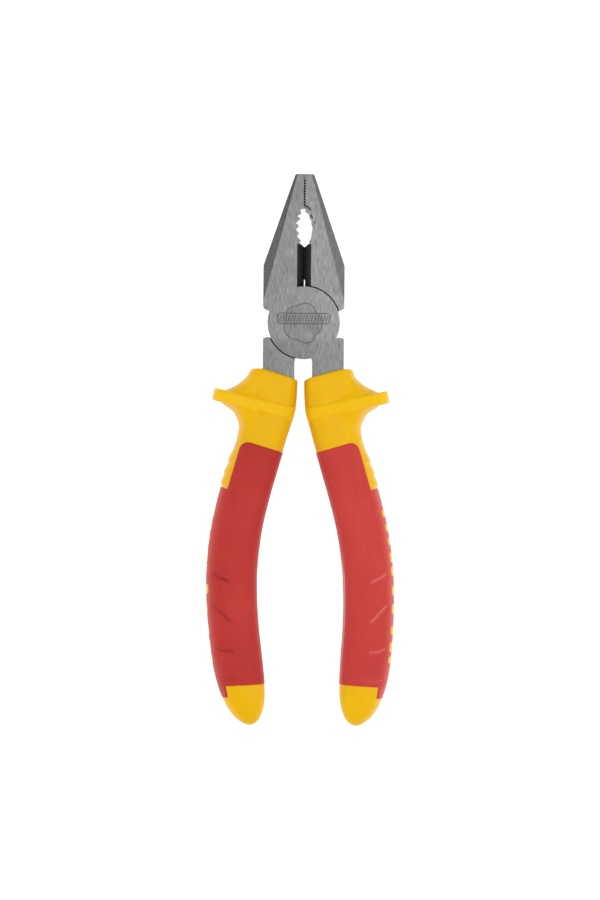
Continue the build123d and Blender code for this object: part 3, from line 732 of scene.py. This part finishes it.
    # painted shade on the notch walls of the right jaw's pipe grip, just below its face
    grip_notch_shade = M.math("MULTIPLY", M.math("MULTIPLY", M.smoothstep(x, 0.00015, 0.0003), M.math("SUBTRACT", 1.0, M.smoothstep(x, 0.0038, 0.0040))),
                  M.math("MULTIPLY", M.smoothstep(y, 0.0255, 0.0257), M.math("SUBTRACT", 1.0, M.smoothstep(y, 0.0385, 0.0387))))
    grip_notch_shade = M.math("MULTIPLY", grip_notch_shade, M.math("MULTIPLY", M.smoothstep(z, 0.0091, 0.0093), M.math("SUBTRACT", 1.0, M.smoothstep(z, 0.00994, 0.00998))))
    gap_shade = M.math("MAXIMUM", M.math("MAXIMUM", M.math("MULTIPLY", tip, steep), arc), M.math("MAXIMUM", notch_shade, M.math("MULTIPLY", grip_notch_shade, 0.72)))
    col = M.mix(M.math("MULTIPLY", gap_shade, 0.97), col, (0.0015, 0.0015, 0.0015, 1))

    # faint warm stain near the joint, and handling haze
    stain = M.smoothstep(M.noise(P, 260.0, 4.0, 0.6), 0.60, 0.80)
    col = M.mix(M.math("MULTIPLY", stain, 0.10), col, srgb(168, 150, 132))

    rough = M.math("ADD", 0.40, M.math("MULTIPLY", M.math("SUBTRACT", s2, 0.5), 0.30))
    rough = M.math("ADD", rough, M.math("MULTIPLY", M.math("SUBTRACT", big, 0.5), 0.10))

    bev = M.n("ShaderNodeBevel", samples=4)
    bev.inputs["Radius"].default_value = 0.00018
    # bright arrises: partly edge wear, partly a painted highlight along the edges
    dot = M.n("ShaderNodeVectorMath", operation="DOT_PRODUCT")
    M.link(bev.outputs[0], dot.inputs[0])
    M.link(geo.outputs["Normal"], dot.inputs[1])
    edge = M.smoothstep(M.math("SUBTRACT", 1.0, dot.outputs["Value"]), 0.015, 0.12)
    edge = M.math("MULTIPLY", M.math("MULTIPLY", edge, M.math("SUBTRACT", 1.0, cut)), M.math("SUBTRACT", 1.0, gap_shade))
    col = M.mix(M.math("MULTIPLY", edge, 0.45), col, (0.42, 0.42, 0.425, 1))

    if mark:
        # a plain etched size panel: a rounded outline with a row of short even strokes
        zf = M.smoothstep(z, 0.00990, 0.00998)
        mx, my = M.math("SUBTRACT", x, -0.00005), M.math("SUBTRACT", y, 0.0013)
        qx = M.math("SUBTRACT", M.math("ABSOLUTE", mx), 0.0074)
        qy = M.math("SUBTRACT", M.math("ABSOLUTE", my), 0.0006)
        qxm, qym = M.math("MAXIMUM", qx, 0.0), M.math("MAXIMUM", qy, 0.0)
        dist = M.math("SUBTRACT", M.math("SQRT", M.math("ADD", M.math("MULTIPLY", qxm, qxm), M.math("MULTIPLY", qym, qym))), 0.0011)
        line = M.math("SUBTRACT", 1.0, M.smoothstep(M.math("ABSOLUTE", dist), 0.00010, 0.00019))
        inside = M.math("SUBTRACT", 1.0, M.smoothstep(dist, -0.00062, -0.00048))
        # strokes every 0.95 mm, leaning slightly
        ph = M.math("ADD", M.math("DIVIDE", M.math("ADD", mx, M.math("MULTIPLY", my, -0.35)), 0.00095), 0.5)
        fr = M.math("ABSOLUTE", M.math("SUBTRACT", M.math("FRACT", ph), 0.5))
        stroke = M.math("MULTIPLY", M.math("SUBTRACT", 1.0, M.smoothstep(fr, 0.10, 0.20)), inside)
        etched = M.math("MULTIPLY", M.math("MAXIMUM", line, stroke), zf)
        patch = M.smoothstep(M.noise(P, 2600.0, 2.0, 0.6), 0.30, 0.55)
        etched = M.math("MULTIPLY", etched, M.math("ADD", 0.45, M.math("MULTIPLY", patch, 0.55)))
        col = M.mix(M.math("MULTIPLY", etched, 0.62), col, (0.045, 0.045, 0.045, 1))
        rough = M.math("ADD", rough, M.math("MULTIPLY", etched, 0.25))
    M.link(col, M.b.inputs["Base Color"])
    M.link(M.math("ADD", M.math("MULTIPLY", cut, 0.12), rough), M.b.inputs["Roughness"])
    M.b.inputs["Metallic"].default_value = 0.82
    M.b.inputs["Anisotropic"].default_value = 0.35
    nrm = M.bump(streak, 0.25, 0.00004, bev.outputs[0])
    M.link(nrm, M.b.inputs["Normal"])
    return M.m


def moulded_yellow(name):
    M = Mat(name)
    P = M.tc.outputs["Object"]
    sep = M.n("ShaderNodeSeparateXYZ")
    M.link(P, sep.inputs[0])
    big = M.noise(P, 55.0, 3.0, 0.55)
    flow = M.noise(M.scaled(P, (260, 90, 260)), 1.0, 4.0, 0.6, 0.6)
    fine = M.noise(P, 5200.0, 2.0, 0.5)
    tone = M.math("ADD", M.math("MULTIPLY", big, 0.6), M.math("MULTIPLY", flow, 0.4))
    col = M.ramp(tone, [(0.30, srgb(224, 170, 3)), (0.55, srgb(230, 178, 5)), (0.75, srgb(235, 185, 9))])
    # scuffs on ridges; painted shade darkens the hollows
    geo = M.n("ShaderNodeNewGeometry")
    scuffn = M.noise(M.scaled(P, (7000, 2600, 7000)), 1.0, 4.0, 0.7)
    ridge = M.smoothstep(geo.outputs["Pointiness"], 0.53, 0.64)
    scuff = M.math("MULTIPLY", ridge, M.smoothstep(scuffn, 0.42, 0.62))
    col = M.mix(M.math("MULTIPLY", scuff, 0.16), col, srgb(250, 214, 110))
    hollow_shade = M.smoothstep(geo.outputs["Pointiness"], 0.495, 0.44)
    col = M.mix(M.math("MULTIPLY", hollow_shade, 0.10), col, srgb(196, 138, 18))
    # painted sheen: the outer flanks are painted paler where they roll away, standing in for the white surroundings
    # reflected at grazing angles
    nsep = M.n("ShaderNodeSeparateXYZ")
    M.link(geo.outputs["Normal"], nsep.inputs[0])
    facing = M.n("ShaderNodeLayerWeight")
    facing.inputs["Blend"].default_value = 0.5
    hand = M.math("MULTIPLY_ADD", M.smoothstep(sep.outputs[0], -0.002, 0.002), 2.0, -1.0)
    grazing_sheen = M.math("MULTIPLY", M.smoothstep(M.math("MULTIPLY", nsep.outputs[0], hand), 0.10, 0.50), M.smoothstep(facing.outputs["Facing"], 0.15, 0.80))
    col = M.mix(M.math("MULTIPLY", grazing_sheen, 0.38), col, srgb(232, 192, 128))
    # the raised band of the guard is coloured a paler yellow
    band_pale = M.n("ShaderNodeAttribute", attribute_name="band_pale").outputs["Fac"]
    col = M.mix(M.math("MULTIPLY", band_pale, 0.42), col, srgb(241, 193, 12))
    M.link(col, M.b.inputs["Base Color"])
    rough = M.math("ADD", 0.42, M.math("MULTIPLY", M.math("SUBTRACT", flow, 0.5), 0.22))
    M.link(rough, M.b.inputs["Roughness"])
    M.b.inputs["Subsurface Weight"].default_value = 0.12
    M.b.inputs["Subsurface Radius"].default_value = (0.0012, 0.0007, 0.0002)
    M.b.inputs["Subsurface Scale"].default_value = 1.0
    M.b.inputs["Specular IOR Level"].default_value = 0.11
    h = M.math("ADD", M.math("MULTIPLY", fine, 0.6), M.math("MULTIPLY", flow, 0.4))
    M.link(M.bump(h, 0.12, 0.00005), M.b.inputs["Normal"])
    return M.m


def soft_red(name):
    M = Mat(name)
    P = M.tc.outputs["Object"]
    big = M.noise(P, 45.0, 3.0, 0.55)
    cloud = M.noise(M.scaled(P, (160, 60, 160)), 1.0, 4.0, 0.6, 0.4)
    fine = M.noise(P, 4200.0, 3.0, 0.6)
    cell = M.n("ShaderNodeTexVoronoi")
    cell.inputs["Scale"].default_value = 2600.0
    M.link(P, cell.inputs["Vector"])
    tone = M.math("ADD", M.math("MULTIPLY", big, 0.55), M.math("MULTIPLY", cloud, 0.45))
    col = M.ramp(tone, [(0.30, srgb(184, 50, 44)), (0.52, srgb(192, 56, 50)), (0.75, srgb(199, 63, 56))])
    # painted shade: a touch deeper toward both ends of the cover, leaving a broad painted highlight in the middle
    ysep = M.n("ShaderNodeSeparateXYZ")
    M.link(P, ysep.inputs[0])
    end_shade = M.smoothstep(M.math("ABSOLUTE", M.math("ADD", ysep.outputs[1], 0.078)), 0.010, 0.044)
    col = M.mix(M.math("MULTIPLY", end_shade, 0.16), col, srgb(158, 36, 34))
    dust = M.smoothstep(M.noise(P, 5200.0, 4.0, 0.75), 0.60, 0.78)
    col = M.mix(M.math("MULTIPLY", dust, 0.10), col, srgb(222, 140, 130))
    geo = M.n("ShaderNodeNewGeometry")
    # painted shade: the hollows are painted darker
    hollow_shade = M.smoothstep(geo.outputs["Pointiness"], 0.497, 0.46)
    col = M.mix(M.math("MULTIPLY", hollow_shade, 0.15), col, srgb(120, 22, 24))
    sep = M.n("ShaderNodeSeparateXYZ")
    M.link(P, sep.inputs[0])
    nsep = M.n("ShaderNodeSeparateXYZ")
    M.link(geo.outputs["Normal"], nsep.inputs[0])
    right = M.smoothstep(sep.outputs[0], -0.002, 0.002)
    # painted light and shade: the right cover is painted paler and the left one darker, as the light falls on them
    col = M.mix(1.0, col, M.mix(right, (0.90, 0.84, 0.84, 1), (1.03, 1.15, 1.15, 1)), "MULTIPLY")
    # painted shade in the left cover's creases and a painted highlight along the right cover's, as the light falls on
    # the scallop steps
    crease = M.n("ShaderNodeAttribute", attribute_name="crease").outputs["Fac"]
    col = M.mix(M.math("MULTIPLY", crease, M.math("MULTIPLY_ADD", right, -0.60, 0.60)), col, srgb(128, 12, 18))
    col = M.mix(M.math("MULTIPLY", crease, M.math("MULTIPLY", right, 0.44)), col, srgb(232, 128, 118))
    # painted sheen where the covers roll away on their outer side, stronger on the right; and a painted reflection on
    # the right cover's inner wall lower down
    facing = M.n("ShaderNodeLayerWeight")
    facing.inputs["Blend"].default_value = 0.5
    facing = facing.outputs["Facing"]
    outward = M.math("MULTIPLY", nsep.outputs[0], M.math("MULTIPLY_ADD", right, 2.0, -1.0))
    grazing_sheen = M.math("MULTIPLY", M.math("MULTIPLY", M.smoothstep(outward, 0.05, 0.40), M.smoothstep(facing, 0.10, 0.80)),
                   M.math("MULTIPLY_ADD", right, 0.14, 0.14))
    col = M.mix(grazing_sheen, col, srgb(224, 146, 134))
    # painted reflection: a pale strip painted on the right cover's inner wall, standing in for the white surroundings
    # seen at grazing angles
    wall = M.math("MULTIPLY", M.math("MULTIPLY", M.smoothstep(M.math("MULTIPLY", nsep.outputs[0], -1.0), 0.3, 0.6), M.smoothstep(facing, 0.58, 0.84)), right)
    wall = M.math("MULTIPLY", wall, M.smoothstep(sep.outputs[2], 0.0080, 0.0098))
    wall = M.math("MULTIPLY", wall, M.math("MULTIPLY", M.smoothstep(sep.outputs[1], -0.072, -0.084), M.smoothstep(sep.outputs[1], -0.1235, -0.1195)))
    col = M.mix(M.math("MULTIPLY", wall, 0.80), col, srgb(248, 226, 220))
    M.link(col, M.b.inputs["Base Color"])
    rough = M.math("ADD", 0.56, M.math("MULTIPLY", M.math("SUBTRACT", cloud, 0.5), 0.18))
    M.link(rough, M.b.inputs["Roughness"])
    M.b.inputs["Subsurface Weight"].default_value = 0.08
    M.b.inputs["Subsurface Radius"].default_value = (0.0010, 0.0003, 0.0002)
    M.b.inputs["Subsurface Scale"].default_value = 1.0
    M.b.inputs["Sheen Weight"].default_value = 0.09
    M.b.inputs["Sheen Roughness"].default_value = 0.45
    M.b.inputs["Sheen Tint"].default_value = (1.0, 0.86, 0.84, 1.0)
    M.b.inputs["Specular IOR Level"].default_value = 0.15
    h = M.math("ADD", M.math("MULTIPLY", fine, 0.5), M.math("MULTIPLY", cell.outputs["Distance"], 0.5))
    M.link(M.bump(h, 0.16, 0.00006), M.b.inputs["Normal"])
    return M.m


# gains for the painted shade on the left ground facet and the painted light on the right one
FACET_LEFT_SHADE, FACET_RIGHT_LIGHT = 0.765, 1.22
mat_front = steel("ground_steel_front", level=0.181, mark=True)
mat_rear = steel("ground_steel_rear", level=0.186)
mat_rivet = steel("rivet_steel", level=0.155, mark=True)
mat_yellow = moulded_yellow("hard_insulation_yellow")
mat_red = soft_red("soft_cover_red")


def dress(node, mat):
    o = nodes[node]
    o.data.materials.clear()
    o.data.materials.append(mat)


dress("front_lever", mat_front)
dress("rear_lever", mat_rear)
dress("pivot_rivet", mat_rivet)

# ---------------------------------------------------------------------------
# Build both handles
# ---------------------------------------------------------------------------
BODY = {"left": "rear_half", "right": "front_half"}
for sgn, side in ((1, "right"), (-1, "left")):
    collar0, spine0, cover0 = make_collar("tmp_collar", sgn), make_spine("tmp_spine", sgn), make_cover("tmp_cover", sgn)
    for src, piece, node, mat, slotname in (
            (collar0, side + "_core_collar", side + "_grip_core", mat_yellow, "hard_insulation"),
            (spine0, side + "_core_spine_and_cap", side + "_grip_core", mat_yellow, "hard_insulation"),
            (cover0, side + "_soft_cover", side + "_grip_cover", mat_red, "soft_cover")):
        ob = bpy.data.objects.new(piece, src.data.copy())
        ob.data.name = piece
        bpy.context.scene.collection.objects.link(ob)
        to_metres(ob, side == "left")
        ob.data.materials.clear()
        ob.data.materials.append(mat)
        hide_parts(node)
        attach(ob, BODY[side])
    for o in (collar0, spine0, cover0):
        m = o.data
        bpy.data.objects.remove(o)
        bpy.data.meshes.remove(m)

# ---------------------------------------------------------------------------
# Stage: pale floor, soft lights, camera straight above
# ---------------------------------------------------------------------------
scene = bpy.context.scene
floor_z = cad_lo.z - 0.0003
bm = bmesh.new()
R = 3.0
vs = [bm.verts.new((sx * R, sy * R, floor_z)) for sx, sy in ((-1, -1), (1, -1), (1, 1), (-1, 1))]
bm.faces.new(vs)
fm = bpy.data.meshes.new("floor")
bm.to_mesh(fm)
bm.free()
floor = bpy.data.objects.new("floor", fm)
scene.collection.objects.link(floor)
F = Mat("pale_floor")
F.b.inputs["Base Color"].default_value = (0.36, 0.36, 0.36, 1)
F.b.inputs["Roughness"].default_value = 0.9
F.b.inputs["Specular IOR Level"].default_value = 0.0
F.b.inputs["Emission Color"].default_value = (1, 1, 1, 1)
F.b.inputs["Emission Strength"].default_value = 0.92
fm.materials.append(F.m)

world = bpy.data.worlds.new("studio")
scene.world = world
world.use_nodes = True
bg = world.node_tree.nodes["Background"]
bg.inputs[0].default_value = (1, 1, 1, 1)
# the studio is a little brighter toward its walls, and plain white where the camera sees past the floor
wt = world.node_tree


def wmath(op, a, b):
    m = wt.nodes.new("ShaderNodeMath")
    m.operation = op
    for i, v in enumerate((a, b)):
        if hasattr(v, "is_linked"):
            wt.links.new(v, m.inputs[i])
        else:
            m.inputs[i].default_value = v
    return m.outputs[0]


wtc, wsep = wt.nodes.new("ShaderNodeTexCoord"), wt.nodes.new("ShaderNodeSeparateXYZ")
wt.links.new(wtc.outputs["Generated"], wsep.inputs[0])
level = wmath("POWER", wmath("MAXIMUM", wmath("SUBTRACT", 1.0, wmath("ABSOLUTE", wsep.outputs[2], 0.0)), 0.0), 1.5)
level = wmath("ADD", wmath("MULTIPLY", level, 0.55), 0.34)
seen = wt.nodes.new("ShaderNodeLightPath")
wt.links.new(wmath("MAXIMUM", level, seen.outputs["Is Camera Ray"]), bg.inputs[1])


def area(name, loc, target, size, power, size_y=None, color=(1, 1, 1)):
    L = bpy.data.lights.new(name, "AREA")
    L.shape = "RECTANGLE"
    L.size, L.size_y = size, size_y or size
    L.energy = power
    L.color = color
    o = bpy.data.objects.new(name, L)
    o.location = loc
    o.rotation_mode = "QUATERNION"
    o.rotation_quaternion = (Vector(target) - Vector(loc)).to_track_quat("-Z", "Y")
    o.visible_camera = False
    scene.collection.objects.link(o)
    return o


area("key_right", (0.55, -0.20, 0.95), (0, -0.04, 0), 0.6, 4.0, 0.8)
area("fill_left", (-0.75, -0.05, 0.75), (0, -0.04, 0), 0.6, 2.15, 0.9)
area("top_soft", (0.05, 0.05, 1.20), (0, -0.04, 0), 0.7, 3.35, 0.7)
area("low_left", (-1.0, -0.10, 0.16), (0, -0.06, 0), 0.25, 1.4, 0.7)
area("low_right", (1.0, -0.10, 0.20), (0, -0.06, 0), 0.25, 1.2, 0.7)

cam_data = bpy.data.cameras.new("camera")
cam = bpy.data.objects.new("camera", cam_data)
scene.collection.objects.link(cam)
cam_data.lens = 200.0
cam_data.sensor_width = 36.0
dist = 0.2944 * 200.0 / 36.0
cam.location = (-0.00082, -0.0416, HALF * MM + dist)
cam.rotation_euler = (0, 0, math.radians(0.5))
cam_data.clip_start, cam_data.clip_end = 0.05, 20.0
scene.camera = cam
scene.view_settings.view_transform = "Standard"
scene.view_settings.look = "None"
scene.view_settings.exposure = 0.0
scene.view_settings.gamma = 1.0
